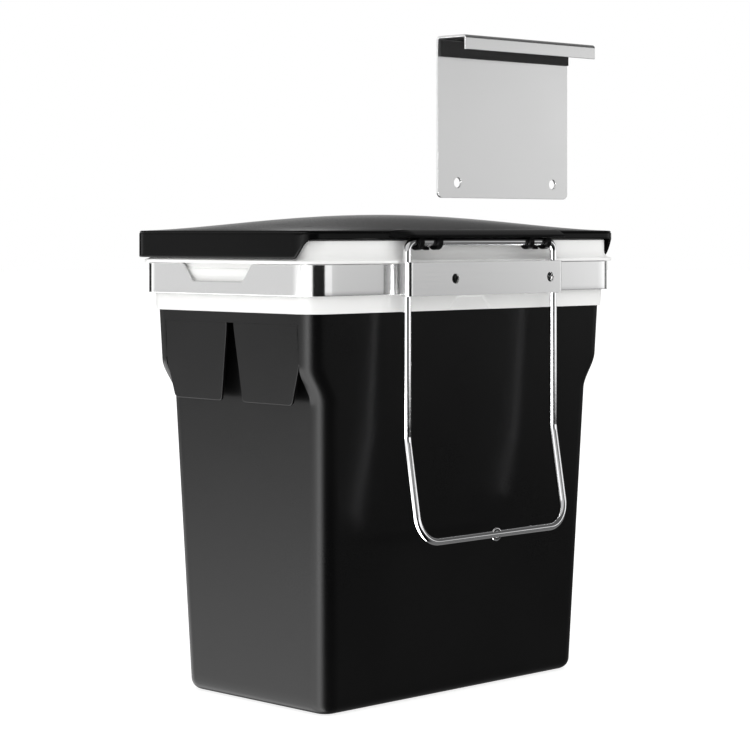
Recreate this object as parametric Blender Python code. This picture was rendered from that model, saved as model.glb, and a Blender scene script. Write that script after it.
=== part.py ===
"""In-cabinet waste bin: a removable bucket in a steel band frame with a hinged lid and an over-door hook.

Metres, +Z up. The origin is the centre of the bucket's foot. X runs along the long side, and the
back, which faces the cabinet door, is +Y.
"""

from math import cos, pi, radians, sin

import bmesh
import bpy
from mathutils import Matrix, Vector

# --- overall sizes -----------------------------------------------------------------------------
FOOT_LENGTH = 0.2576
FOOT_DEPTH = 0.1451
RIM_HEIGHT = 0.3015  # top of the bucket's own wall

# --- fits --------------------------------------------------------------------------------------
GAP = 0.0003  # between pieces that touch

# --- bucket ------------------------------------------------------------------------------------
BUCKET_WALL = 0.002
BUCKET_FLOOR = 0.0025
DRAFT = 0.039  # how far the walls lean out for each metre of height
CORNER_RADIUS = 0.013
FOOT_ROUND = 0.0075
SHOULDER_STEP = 0.0107
SHOULDER_HEIGHT = 0.026
SHOULDER_BELOW_RIM = 0.0665
BEAD_PROUD = 0.0008
BEAD_HEIGHT = 0.004
BEAD_BELOW_RIM = 0.002

# --- finger flaps on the bucket's short sides -----------------------------------------------------
FLAP_FOOT_HALF = 0.0605  # from the middle to a flap's lower outer corner
FLAP_ROUND = 0.004
FLAP_WALL = 0.002
FLAP_RECESS = 0.00002  # keeps a flap's face just off the wall's plane, so that the union is clean
SLOT_FOOT_WIDTH = 0.0217
SLOT_HEAD_WIDTH = 0.0072
SLOT_HEIGHT = 0.056
POCKET_HEIGHT = 0.054

# --- liner ring --------------------------------------------------------------------------------
RING_WALL = 0.002
RING_SKIRT = 0.012  # below the band
RING_RISE = 0.0156  # above the flange's underside
NECK_WALL = 0.0018
NECK_OUT = 0.0033  # from the bucket's rim to the neck's outer face
FLANGE_THICKNESS = 0.0022
LEDGE_REACH = 0.0045
LEDGE_THICKNESS = 0.0022
DIMPLE_FOOT_WIDTH = 0.0454
DIMPLE_HEAD_WIDTH = 0.027
DIMPLE_HEIGHT = 0.009
DIMPLE_DEPTH = 0.0013

# --- steel band and back plate ---------------------------------------------------------------------
BAND_WALL = 0.0015
BAND_HEIGHT = 0.021
BAND_GAP = 0.0019  # to the liner ring
FLANGE_OVERHANG = 0.003  # past the band
NOTCH_HEAD_WIDTH = 0.071
NOTCH_FOOT_WIDTH = 0.053
NOTCH_DEPTH = 0.012
NOTCH_ROUND = 0.005
NOTCH_OFFSET = -0.005  # of the notches' middle from the band's, towards the front
PLATE_WIDTH = 0.1595
PLATE_HEIGHT = 0.023
PLATE_THICKNESS = 0.0015
PLATE_BEND = 0.004
PLATE_FOOT = 0.0145
SCREW_HOLE_RADIUS = 0.0035
SCREW_SPACING = 0.099
SCREW_OFFSET = -0.0155  # of the two holes' middle from the plate's middle

# --- support wire ----------------------------------------------------------------------------------
WIRE_RADIUS = 0.0028
WIRE_SIDES = 12
WIRE_BEHIND_PLATE = 0.0022  # from the back plate's inner face to the wire
FLANGE_TO_WIRE = 0.0012  # the liner ring's flange stays this clear of the wire
ROD_BELOW_RING_TOP = 0.0012
LOOP_HEIGHT = 0.2035
LOOP_KINK = 0.1342  # from the hinge rod down to where the legs bend outwards
LOOP_REACH = 0.012  # how far the foot of the loop stands behind its legs
LOOP_HEAD_BEND = 0.007
LOOP_KINK_BEND = 0.030
LOOP_FOOT_BEND = 0.018
EYE_RADIUS = 0.0048
EYE_HOLE_RADIUS = 0.002
EYE_THICKNESS = 0.004

# --- lid ---------------------------------------------------------------------------------------
LID_WALL = 0.0022
LID_FRONT_OVERHANG = 0.002
LID_REAR_INSET = 0.0035
LID_CORNER = 0.015
LID_ABOVE_RING = 0.0051  # from the ring's top to the lid's upper edge
LID_RIM_STEP = 0.0015
LID_DOME = 0.0116
SKIRT_END_INSET = 0.0145  # from the lid's rear edge to where the side skirts start to rise

# --- hinge -------------------------------------------------------------------------------------
HINGE_CLEARANCE = 0.0003  # between the hinge rod and what turns on it
HOOD_WIDTH = 0.183
CLIP_SPACING = 0.1125
CLIP_OFFSET = 0.0
CLIP_WIDTH = 0.023
CLIP_HOOK_WIDTH = 0.0048
CLIP_TONGUE_WIDTH = 0.005
CLIP_WALL = 0.0024

# --- over-door hook ----------------------------------------------------------------------------
HOOK_WIDTH = 0.135
HOOK_OFFSET = -0.014
HOOK_HEIGHT = 0.110
HOOK_THICKNESS = 0.0015
HOOK_BEND = 0.0009
HOOK_THROAT = 0.0245  # the thickest door it fits
HOOK_LIP = 0.010
HOOK_CORNER = 0.004
HOOK_HOLE_HEIGHT = 0.0105
HOOK_LIFT = 0.066  # shown this far above its screwed-on place
PAD_HEIGHT = 0.011
PAD_THICKNESS = 0.0015
PAD_INSET = 0.0005

CORNER_STEPS = 6
ROUND_STEPS = 4

# --- levels and half sizes that follow from those above --------------------------------------------
BAND_TOP = RIM_HEIGHT + 0.002
FLANGE_UNDER = BAND_TOP + GAP
RING_TOP = FLANGE_UNDER + RING_RISE
BAND_BOTTOM = BAND_TOP - BAND_HEIGHT
BAND_MIDDLE = (BAND_TOP + BAND_BOTTOM) / 2
RING_BOTTOM = BAND_BOTTOM - RING_SKIRT
SHOULDER_TOP = RIM_HEIGHT - SHOULDER_BELOW_RIM
SHOULDER_FOOT = SHOULDER_TOP - SHOULDER_HEIGHT
FLAP_FOOT = SHOULDER_FOOT


def lower_half_x(z):
    return FOOT_LENGTH / 2 + DRAFT * z


def upper_half_x(z):
    return lower_half_x(z) + SHOULDER_STEP


def half_y(z):
    return FOOT_DEPTH / 2 + DRAFT * z


RIM_HALF_X = upper_half_x(RIM_HEIGHT)
RIM_HALF_Y = half_y(RIM_HEIGHT)
RING_OUT = GAP + RING_WALL  # from the bucket's face to the ring's face
BAND_OUT = RING_OUT + BAND_GAP + BAND_WALL
FLANGE_OUT = BAND_OUT + FLANGE_OVERHANG
BAND_HALF_X = RIM_HALF_X + BAND_OUT
BAND_HALF_Y = RIM_HALF_Y + BAND_OUT
FLANGE_TIP_Y = RIM_HALF_Y + FLANGE_OUT
HINGE_Y = FLANGE_TIP_Y + FLANGE_TO_WIRE + WIRE_RADIUS
PLATE_FACE = HINGE_Y + WIRE_RADIUS + WIRE_BEHIND_PLATE + PLATE_THICKNESS
LEG_X = PLATE_WIDTH / 2 - PLATE_THICKNESS - GAP - WIRE_RADIUS
HINGE_Z = RING_TOP - ROD_BELOW_RING_TOP
BORE_RADIUS = WIRE_RADIUS + HINGE_CLEARANCE
CLIP_RADIUS = BORE_RADIUS + CLIP_WALL
LID_BOTTOM = FLANGE_UNDER + 0.0035
LID_EDGE = RING_TOP + LID_ABOVE_RING
LID_RIM = LID_EDGE + LID_RIM_STEP
LID_HALF_X = RIM_HALF_X + FLANGE_OUT
LID_FRONT = -(RIM_HALF_Y + FLANGE_OUT + LID_FRONT_OVERHANG)
LID_REAR = RIM_HALF_Y + FLANGE_OUT - LID_REAR_INSET
HOOD_UNDER = HINGE_Z + WIRE_RADIUS + 0.0004
HOOK_FACE = PLATE_FACE + GAP
HOOK_FOOT = BAND_MIDDLE - HOOK_HOLE_HEIGHT + HOOK_LIFT
HOLE_XS = [SCREW_OFFSET + side * SCREW_SPACING / 2 for side in (-1, 1)]


# --- modelling helpers -------------------------------------------------------------------------
def clear_scene():
    for obj in list(bpy.data.objects):
        bpy.data.objects.remove(obj, do_unlink=True)


def material(name, colour, roughness, metallic=0.0):
    made = bpy.data.materials.new(name)
    made.use_nodes = True
    shader = made.node_tree.nodes["Principled BSDF"]
    shader.inputs["Base Color"].default_value = (*colour, 1.0)
    shader.inputs["Roughness"].default_value = roughness
    shader.inputs["Metallic"].default_value = metallic
    made.diffuse_color = (*colour, 1.0)
    return made


def object_from(name, bm, finish=None):
    """Turns a bmesh into an object whose faces point out."""
    bmesh.ops.remove_doubles(bm, verts=bm.verts, dist=1e-7)
    bmesh.ops.recalc_face_normals(bm, faces=bm.faces)
    mesh = bpy.data.meshes.new(name)
    bm.to_mesh(mesh)
    bm.free()
    obj = bpy.data.objects.new(name, mesh)
    bpy.context.scene.collection.objects.link(obj)
    if finish:
        mesh.materials.append(finish)
        mesh.shade_smooth()
        mesh.set_sharp_from_angle(angle=radians(35))
    return obj


def boolean(obj, other, operation):
    other.hide_render = True
    other.display_type = "WIRE"
    step = obj.modifiers.new(f"{operation.lower()} {other.name}", "BOOLEAN")
    step.operation = operation
    step.solver = "EXACT"
    step.object = other


def cut(obj, *cutters):
    for cutter in cutters:
        boolean(obj, cutter, "DIFFERENCE")


def join(obj, *others):
    for other in others:
        boolean(obj, other, "UNION")


def arc(centre, radius, start, end, steps):
    """Points of a circular arc in a plane, both ends included."""
    angles = [start + (end - start) * i / steps for i in range(steps + 1)]
    return [(centre[0] + radius * cos(a), centre[1] + radius * sin(a)) for a in angles]


def rounded_box(low, high, radius, steps=CORNER_STEPS):
    """The outline of a rectangle with round corners, anticlockwise."""
    (x0, y0), (x1, y1) = low, high
    corners = [(x1 - radius, y1 - radius), (x0 + radius, y1 - radius)]
    corners += [(x0 + radius, y0 + radius), (x1 - radius, y0 + radius)]
    points = []
    for quarter, corner in enumerate(corners):
        points += arc(corner, radius, quarter * pi / 2, (quarter + 1) * pi / 2, steps)
    return points


def centred_box(half_x, half_y_size, radius):
    return rounded_box((-half_x, -half_y_size), (half_x, half_y_size), radius)


def rounded_polygon(corners, steps=ROUND_STEPS):
    """An outline from (x, y, radius) corners, each round one an arc that touches both its sides."""
    points = []
    count = len(corners)
    for i, (x, y, radius) in enumerate(corners):
        here = Vector((x, y))
        back = (Vector(corners[i - 1][:2]) - here).normalized()
        ahead = (Vector(corners[(i + 1) % count][:2]) - here).normalized()
        if radius == 0:
            points.append((x, y))
            continue
        half_angle = back.angle(ahead) / 2
        middle = (back + ahead).normalized()
        centre = here + middle * radius / sin(half_angle)
        first = here + back * radius / (sin(half_angle) / cos(half_angle)) - centre
        last = here + ahead * radius / (sin(half_angle) / cos(half_angle)) - centre
        sweep = first.angle_signed(last)
        for k in range(steps + 1):
            turned = first.copy()
            turned.rotate(rotation_2d(-sweep * k / steps))
            points.append(tuple(centre + turned))
    return points


def rotation_2d(angle):
    return Matrix.Rotation(angle, 2)


def loft(name, rings, finish=None, closed=False):
    """Skins rings of equally many points. closed joins the last ring to the first, as for a wall
    whose section is a loop; otherwise both ends are capped."""
    bm = bmesh.new()
    rows = [[bm.verts.new(point) for point in ring] for ring in rings]
    pairs = list(zip(rows, rows[1:]))
    if closed:
        pairs.append((rows[-1], rows[0]))
    for low, high in pairs:
        for i in range(len(low)):
            j = (i + 1) % len(low)
            bm.faces.new((low[i], low[j], high[j], high[i]))
    if not closed:
        bm.faces.new(rows[0])
        bm.faces.new(rows[-1])
    return object_from(name, bm, finish)


def level(outline, z):
    return [(x, y, z) for x, y in outline]


def along_x(outline, low, high):
    """Two rings of a prism along X from a (y, z) outline; its ends may depend on z."""
    ends = [end if callable(end) else (lambda z, end=end: end) for end in (low, high)]
    return [[(end(z), y, z) for y, z in outline] for end in ends]


def along_y(outline, low, high):
    return [[(x, y, z) for x, z in outline] for y in (low, high)]


def along_z(outline, low, high):
    return [[(x, y, z) for x, y in outline] for z in (low, high)]


def mirrored_x(obj):
    """The same shape on the other side of the YZ plane."""
    for vert in obj.data.vertices:
        vert.co.x = -vert.co.x
    obj.data.flip_normals()
    return obj


def drill(name, x, z, radius, near, far):
    return loft(name, along_y(arc((x, z), radius, 0, 2 * pi * 15 / 16, 15), near, far))


def strip_outline(points, bend, thickness):
    """The section of a bent sheet: a centre line with round bends, given half the thickness each side."""
    path = []
    for i, point in enumerate(points):
        here = Vector(point)
        if i in (0, len(points) - 1):
            beside = Vector(points[1] if i == 0 else points[-2])
            run = (beside - here if i == 0 else here - beside).normalized()
            path.append((here, Vector((-run.y, run.x))))
            continue
        back = (Vector(points[i - 1]) - here).normalized()
        ahead = (Vector(points[i + 1]) - here).normalized()
        half_angle = back.angle(ahead) / 2
        centre = here + (back + ahead).normalized() * bend / sin(half_angle)
        turn = pi - 2 * half_angle
        side = 1 if back.x * ahead.y - back.y * ahead.x < 0 else -1
        start = Vector((back.y, -back.x))
        for k in range(ROUND_STEPS + 1):
            normal = start.copy()
            normal.rotate(rotation_2d(side * turn * k / ROUND_STEPS))
            path.append((centre - normal * side * bend, normal))
    left = [tuple(p + n * thickness / 2) for p, n in path]
    right = [tuple(p - n * thickness / 2) for p, n in path]
    return left + right[::-1]


# --- bucket ------------------------------------------------------------------------------------
def bucket_ring(half_x, z, inset=0.0):
    radius = CORNER_RADIUS - inset
    return level(centred_box(half_x(z) - inset, half_y(z) - inset, radius), z)


def pocket_start(z):
    """How far from the middle the straight part of a short side reaches."""
    return half_y(z) - CORNER_RADIUS


def flap_blank(name):
    """One short side's flaps, carried down from the upper wall, before their slot is cut."""
    start = pocket_start(SHOULDER_FOOT)
    above = SHOULDER_TOP + 0.004
    outline = rounded_polygon(
        [
            (FLAP_FOOT_HALF, FLAP_FOOT, FLAP_ROUND),
            (start, SHOULDER_TOP, 0),
            (start, above, 0),
            (-start, above, 0),
            (-start, SHOULDER_TOP, 0),
            (-FLAP_FOOT_HALF, FLAP_FOOT, FLAP_ROUND),
        ]
    )
    near = lambda z: upper_half_x(z) - FLAP_WALL - 0.001
    return loft(name, along_x(outline, near, lambda z: upper_half_x(z) - FLAP_RECESS))


def pocket_cutter(name):
    """The finger space between the flaps and the wall behind them, open below."""
    start = pocket_start(SHOULDER_FOOT) - 0.001
    below = SHOULDER_FOOT - 0.02
    ceiling = FLAP_FOOT + POCKET_HEIGHT
    outline = [(start, below), (start, ceiling), (-start, ceiling), (-start, below)]
    return loft(name, along_x(outline, lower_half_x, lambda z: upper_half_x(z) - FLAP_WALL))


def flap_side_cutter(name, side):
    """Takes away the shoulder beside a flap, so that its edge stands free."""
    inner = FLAP_FOOT_HALF
    start = pocket_start(SHOULDER_FOOT) - 0.001
    top = SHOULDER_TOP - 0.003
    outline = [(inner, SHOULDER_FOOT - 0.001), (start, SHOULDER_FOOT - 0.001), (start, top)]
    outline = [(y * side, z) for y, z in outline]
    return loft(name, along_x(outline, lower_half_x, lambda z: upper_half_x(z) + 0.01))


def flap_slot_cutter(name):
    """The tall slot between the two flaps, with a round head."""
    below = FLAP_FOOT - 0.01
    lean = (SLOT_FOOT_WIDTH - SLOT_HEAD_WIDTH) / 2 / SLOT_HEIGHT
    low_half = SLOT_FOOT_WIDTH / 2 + lean * (FLAP_FOOT - below)
    head = FLAP_FOOT + SLOT_HEIGHT
    head_round = SLOT_HEAD_WIDTH * 0.35
    outline = rounded_polygon(
        [
            (low_half, below, 0),
            (SLOT_HEAD_WIDTH / 2, head, head_round),
            (-SLOT_HEAD_WIDTH / 2, head, head_round),
            (-low_half, below, 0),
        ]
    )
    low = lambda z: upper_half_x(z) - FLAP_WALL - 0.002
    return loft(name, along_x(outline, low, lambda z: upper_half_x(z) + 0.01))


def make_bucket(finish):
    bead_top = RIM_HEIGHT - BEAD_BELOW_RIM
    bead_foot = bead_top - BEAD_HEIGHT
    outside = [
        bucket_ring(lower_half_x, FOOT_ROUND * (1 - sin(a)), FOOT_ROUND * (1 - cos(a)))
        for a in (pi / 2, pi / 3, pi / 6, 0)
    ]
    outside += [
        bucket_ring(lower_half_x, SHOULDER_FOOT),
        bucket_ring(upper_half_x, SHOULDER_TOP),
        bucket_ring(upper_half_x, bead_foot),
        bucket_ring(upper_half_x, bead_foot + BEAD_PROUD, -BEAD_PROUD),
        bucket_ring(upper_half_x, bead_top - BEAD_PROUD, -BEAD_PROUD),
        bucket_ring(upper_half_x, bead_top),
        bucket_ring(upper_half_x, RIM_HEIGHT),
    ]
    bucket = loft("bucket", outside, finish)

    for side in (1, -1):
        pieces = [flap_blank(f"flap_blank_{side}"), pocket_cutter(f"pocket_{side}")]
        pieces.append(flap_slot_cutter(f"flap_slot_{side}"))
        pieces += [flap_side_cutter(f"flap_side_{side}_{end}", end) for end in (1, -1)]
        if side < 0:
            pieces = [mirrored_x(piece) for piece in pieces]
        blank, pocket, slot, *beside = pieces
        cut(bucket, *beside)
        join(bucket, blank)
        cut(bucket, pocket, slot)

    ceiling = FLAP_FOOT + POCKET_HEIGHT + BUCKET_WALL
    inside = [
        bucket_ring(lower_half_x, BUCKET_FLOOR, BUCKET_WALL + FOOT_ROUND / 2),
        bucket_ring(lower_half_x, BUCKET_FLOOR + FOOT_ROUND / 2, BUCKET_WALL),
        bucket_ring(lower_half_x, ceiling, BUCKET_WALL),
        bucket_ring(upper_half_x, ceiling + SHOULDER_STEP, BUCKET_WALL),
        bucket_ring(upper_half_x, RIM_HEIGHT + 0.01, BUCKET_WALL),
    ]
    cut(bucket, loft("bucket_hollow", inside))
    return bucket


# --- liner ring --------------------------------------------------------------------------------
def drafted_ring(z, out):
    return level(centred_box(upper_half_x(z) + out, half_y(z) + out, CORNER_RADIUS + out), z)


def upright_ring(z, out):
    radius = max(CORNER_RADIUS + out, 0.003)
    return level(centred_box(RIM_HALF_X + out, RIM_HALF_Y + out, radius), z)


def make_liner_ring(finish):
    """A ring whose flange rests on the band; its groove holds the bucket's bead."""
    groove_top = RIM_HEIGHT - BEAD_BELOW_RIM + GAP
    groove_foot = groove_top - BEAD_HEIGHT - 2 * GAP
    deep = GAP + BEAD_PROUD
    ledge = RIM_HEIGHT + 0.0008
    tip = 0.0005
    flange_top = FLANGE_UNDER + FLANGE_THICKNESS
    rings = [
        drafted_ring(RING_BOTTOM, RING_OUT),
        drafted_ring(groove_foot - BEAD_PROUD, RING_OUT),
        drafted_ring(groove_foot, RING_OUT + BEAD_PROUD),
        drafted_ring(groove_top, RING_OUT + BEAD_PROUD),
        drafted_ring(groove_top + BEAD_PROUD, RING_OUT),
        drafted_ring(FLANGE_UNDER, RING_OUT),
        upright_ring(FLANGE_UNDER, FLANGE_OUT - tip),
        upright_ring(FLANGE_UNDER + tip, FLANGE_OUT),
        upright_ring(flange_top - tip, FLANGE_OUT),
        upright_ring(flange_top, FLANGE_OUT - tip),
        upright_ring(flange_top + 0.0006, NECK_OUT + 0.0025),
        upright_ring(flange_top + 0.0022, NECK_OUT + 0.0008),
        upright_ring(flange_top + 0.005, NECK_OUT),
        upright_ring(RING_TOP - tip, NECK_OUT),
        upright_ring(RING_TOP, NECK_OUT - tip),
        upright_ring(RING_TOP, NECK_OUT - NECK_WALL),
        upright_ring(flange_top, NECK_OUT - NECK_WALL),
        upright_ring(ledge + LEDGE_THICKNESS, 0.0),
        upright_ring(ledge + LEDGE_THICKNESS, -LEDGE_REACH + tip),
        upright_ring(ledge + LEDGE_THICKNESS - tip, -LEDGE_REACH),
        upright_ring(ledge + tip, -LEDGE_REACH),
        upright_ring(ledge, -LEDGE_REACH + tip),
        drafted_ring(ledge, GAP),
        drafted_ring(groove_top + BEAD_PROUD, GAP),
        drafted_ring(groove_top, deep),
        drafted_ring(groove_foot, deep),
        drafted_ring(groove_foot - BEAD_PROUD, GAP),
        drafted_ring(RING_BOTTOM, GAP),
    ]
    ring = loft("liner_ring", rings, finish, closed=True)
    bottom = RING_BOTTOM - 0.005
    lean = (DIMPLE_FOOT_WIDTH - DIMPLE_HEAD_WIDTH) / 2 / DIMPLE_HEIGHT
    low_half = DIMPLE_FOOT_WIDTH / 2 + lean * (RING_BOTTOM - bottom)
    outline = rounded_polygon(
        [
            (low_half, bottom, 0),
            (DIMPLE_HEAD_WIDTH / 2, RING_BOTTOM + DIMPLE_HEIGHT, 0.004),
            (-DIMPLE_HEAD_WIDTH / 2, RING_BOTTOM + DIMPLE_HEIGHT, 0.004),
            (-low_half, bottom, 0),
        ]
    )
    back = half_y(RING_BOTTOM) + RING_OUT - DIMPLE_DEPTH + DRAFT * DIMPLE_HEIGHT
    cut(ring, loft("dimple_cutter", along_y(outline, back, back + 0.01)))
    return ring


# --- steel band, back plate and support wire ----------------------------------------------------
def make_band(finish):
    rings = [upright_ring(z, BAND_OUT) for z in (BAND_BOTTOM, BAND_TOP)]
    rings += [upright_ring(z, BAND_OUT - BAND_WALL) for z in (BAND_TOP, BAND_BOTTOM)]
    band = loft("steel_band", rings, finish, closed=True)
    notch = rounded_polygon(
        [
            (NOTCH_HEAD_WIDTH / 2 + 0.004, BAND_TOP + 0.005, 0),
            (NOTCH_HEAD_WIDTH / 2, BAND_TOP, 0),
            (NOTCH_FOOT_WIDTH / 2, BAND_TOP - NOTCH_DEPTH, NOTCH_ROUND),
            (-NOTCH_FOOT_WIDTH / 2, BAND_TOP - NOTCH_DEPTH, NOTCH_ROUND),
            (-NOTCH_HEAD_WIDTH / 2, BAND_TOP, 0),
            (-NOTCH_HEAD_WIDTH / 2 - 0.004, BAND_TOP + 0.005, 0),
        ]
    )
    notch = [(y + NOTCH_OFFSET, z) for y, z in notch]
    reach = BAND_HALF_X + 0.01
    cut(band, loft("band_notches", along_x(notch, -reach, reach)))
    return band


def make_back_plate(finish):
    """A hat section: a flat face for the screws, two side walls and two feet welded to the band."""
    half = (PLATE_WIDTH - PLATE_THICKNESS) / 2
    face = PLATE_FACE - PLATE_THICKNESS / 2
    foot = BAND_HALF_Y + GAP + PLATE_THICKNESS / 2
    inner = half - PLATE_FOOT
    path = [(-inner, foot), (-half, foot), (-half, face), (half, face), (half, foot), (inner, foot)]
    outline = strip_outline(path, PLATE_BEND - PLATE_THICKNESS / 2, PLATE_THICKNESS)
    low, high = BAND_MIDDLE - PLATE_HEIGHT / 2, BAND_MIDDLE + PLATE_HEIGHT / 2
    plate = loft("back_plate", along_z(outline, low, high), finish)
    for index, x in enumerate(HOLE_XS):
        near, far = face - 0.005, face + 0.005
        cut(plate, drill(f"plate_hole_{index}", x, BAND_MIDDLE, SCREW_HOLE_RADIUS, near, far))
    near, far = BAND_HALF_Y - 0.01, RIM_HALF_Y + FLANGE_OUT + 2 * GAP
    relief = [(-PLATE_WIDTH, near), (PLATE_WIDTH, near), (PLATE_WIDTH, far), (-PLATE_WIDTH, far)]
    cut(plate, loft("flange_relief", along_z(relief, BAND_TOP, BAND_TOP + 0.01)))
    return plate


def bend(before, corner, after, radius, steps=5):
    """An arc of points that rounds a corner of a path in space."""
    back = (Vector(before) - Vector(corner)).normalized()
    ahead = (Vector(after) - Vector(corner)).normalized()
    half_angle = back.angle(ahead) / 2
    centre = Vector(corner) + (back + ahead).normalized() * radius / sin(half_angle)
    reach = radius * cos(half_angle) / sin(half_angle)
    first = Vector(corner) + back * reach - centre
    last = Vector(corner) + ahead * reach - centre
    first, last = first.normalized(), last.normalized()
    return [centre + first.slerp(last, k / steps) * radius for k in range(steps + 1)]


def wire_path():
    """The loop's centre line: the hinge rod on top, two legs and the foot that stands off behind."""
    top = [(LEG_X, HINGE_Y, HINGE_Z), (-LEG_X, HINGE_Y, HINGE_Z)]
    kink_z = HINGE_Z - LOOP_KINK
    foot_z = HINGE_Z - LOOP_HEIGHT
    foot_y = HINGE_Y + LOOP_REACH
    corners = [
        (top[0], LOOP_HEAD_BEND),
        (top[1], LOOP_HEAD_BEND),
        ((-LEG_X, HINGE_Y, kink_z), LOOP_KINK_BEND),
        ((-LEG_X, foot_y, foot_z), LOOP_FOOT_BEND),
        ((LEG_X, foot_y, foot_z), LOOP_FOOT_BEND),
        ((LEG_X, HINGE_Y, kink_z), LOOP_KINK_BEND),
    ]
    points = []
    for i, (corner, radius) in enumerate(corners):
        before = corners[i - 1][0]
        after = corners[(i + 1) % len(corners)][0]
        points += bend(before, corner, after, radius)
    return points


def tube_rings(points, radius, sides):
    """A ring of points round each point of a closed path, carried along without twist."""
    count = len(points)
    rings = []
    normal = Vector((0, 1, 0))
    for i, point in enumerate(points):
        run = (points[(i + 1) % count] - points[i - 1]).normalized()
        normal = (normal - run * normal.dot(run)).normalized()
        side = run.cross(normal)
        angles = [2 * pi * k / sides for k in range(sides)]
        rings.append([point + (normal * cos(a) + side * sin(a)) * radius for a in angles])
    return rings


def make_support_wire(finish):
    wire = loft("support_wire", tube_rings(wire_path(), WIRE_RADIUS, WIRE_SIDES), finish, closed=True)
    foot = Vector((0, HINGE_Y + LOOP_REACH, HINGE_Z - LOOP_HEIGHT))
    low, high = foot.y - EYE_THICKNESS / 2, foot.y + EYE_THICKNESS / 2
    disc = arc((0, foot.z), EYE_RADIUS, 0, 2 * pi * 19 / 20, 19)
    join(wire, loft("eye", along_y(disc, low, high)))
    cut(wire, drill("eye_hole", 0, foot.z, EYE_HOLE_RADIUS, low - 0.003, high + 0.003))
    return wire


# --- lid ---------------------------------------------------------------------------------------
def lid_outline(inset):
    low = (-LID_HALF_X + inset, LID_FRONT + inset)
    high = (LID_HALF_X - inset, LID_REAR - inset)
    return rounded_box(low, high, LID_CORNER - inset)


def dome_height(x, y):
    """A pillow: nought at the lid's edges, LID_DOME at its middle."""
    middle = (LID_REAR + LID_FRONT) / 2
    half = (LID_REAR - LID_FRONT) / 2
    across = max(0.0, 1 - (x / LID_HALF_X) ** 2)
    along = max(0.0, 1 - ((y - middle) / half) ** 2)
    return LID_DOME * across * along


def dome_ring(inset, share, floor):
    """The lid's outline drawn in towards its middle, laid on the pillow above floor."""
    middle = (LID_REAR + LID_FRONT) / 2
    points = [(x * share, middle + (y - middle) * share) for x, y in lid_outline(inset)]
    return [(x, y, floor + dome_height(x, y)) for x, y in points]


def make_lid(finish):
    shares = (0.97, 0.9, 0.75, 0.55, 0.3, 0.08)
    outside = [level(lid_outline(0.0), LID_BOTTOM), level(lid_outline(0.0), LID_EDGE)]
    outside.append(level(lid_outline(LID_RIM_STEP), LID_RIM))
    outside += [dome_ring(LID_RIM_STEP, share, LID_RIM) for share in shares]
    under = LID_RIM - LID_WALL
    inside = [level(lid_outline(LID_WALL), LID_BOTTOM - 0.002)]
    inside.append(level(lid_outline(LID_WALL), under - LID_RIM_STEP))
    inside += [dome_ring(LID_WALL + 0.0005, share, under) for share in shares]
    lid = loft("lid", outside, finish)
    cut(lid, loft("lid_hollow", inside), rear_skirt_cutter())
    join(lid, make_hood())
    return lid


def rear_skirt_cutter():
    """Takes away the skirt on the hinge side, rising in an S along the side skirts' ends."""
    start = LID_REAR - SKIRT_END_INSET
    low, high = LID_BOTTOM - 0.0002, RING_TOP + 0.0006
    shares = [i / 10 for i in range(11)]
    length = SKIRT_END_INSET - LID_WALL - GAP
    rise = [(start + length * t, low + (high - low) * (1 - cos(pi * t)) / 2) for t in shares]
    outline = [(start, low - 0.01), *rise, (LID_REAR + 0.03, high), (LID_REAR + 0.03, low - 0.01)]
    reach = LID_HALF_X + 0.01
    return loft("rear_skirt_cutter", along_x(outline, -reach, reach))


def make_hood():
    """The roof over the hinge rod. It stays inside the back plate's plane while the lid opens."""
    outline = [
        (LID_REAR - 0.001, HOOD_UNDER),
        (HINGE_Y + 0.0042, HOOD_UNDER),
        (HINGE_Y + 0.0045, HOOD_UNDER + 0.0008),
        (HINGE_Y + 0.0036, HOOD_UNDER + 0.0018),
        (HINGE_Y + 0.0020, HOOD_UNDER + 0.0027),
        (HINGE_Y - 0.0010, HOOD_UNDER + 0.0042),
        (HINGE_Y - 0.0050, HOOD_UNDER + 0.0057),
        (LID_REAR - 0.001, HOOD_UNDER + 0.0057),
    ]
    return loft("hood", along_x(outline, -HOOD_WIDTH / 2, HOOD_WIDTH / 2))


# --- hinge clips -------------------------------------------------------------------------------
def clip_arc(name, x, width, start, end):
    """A slice of a ring round the hinge rod; angles run from the rear, over the top."""
    centre = (HINGE_Y, HINGE_Z)
    outline = arc(centre, CLIP_RADIUS, start, end, 10)
    outline += arc(centre, BORE_RADIUS, end, start, 10)
    return loft(name, along_x(outline, x - width / 2, x + width / 2))


def make_clip(name, x, finish):
    """A saddle in front of the hinge rod, two hooks behind it and a tongue between them."""
    clip = clip_arc(name, x, CLIP_WIDTH, radians(150), radians(225))
    clip.data.materials.append(finish)
    reach = (CLIP_WIDTH - CLIP_HOOK_WIDTH) / 2
    for side in (-1, 1):
        at = x + side * reach
        join(clip, clip_arc(f"{name}_hook_{side}", at, CLIP_HOOK_WIDTH, radians(218), radians(392)))
    tongue = clip_arc(f"{name}_tongue", x, CLIP_TONGUE_WIDTH, radians(218), radians(300))
    join(clip, tongue)
    return clip


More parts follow.
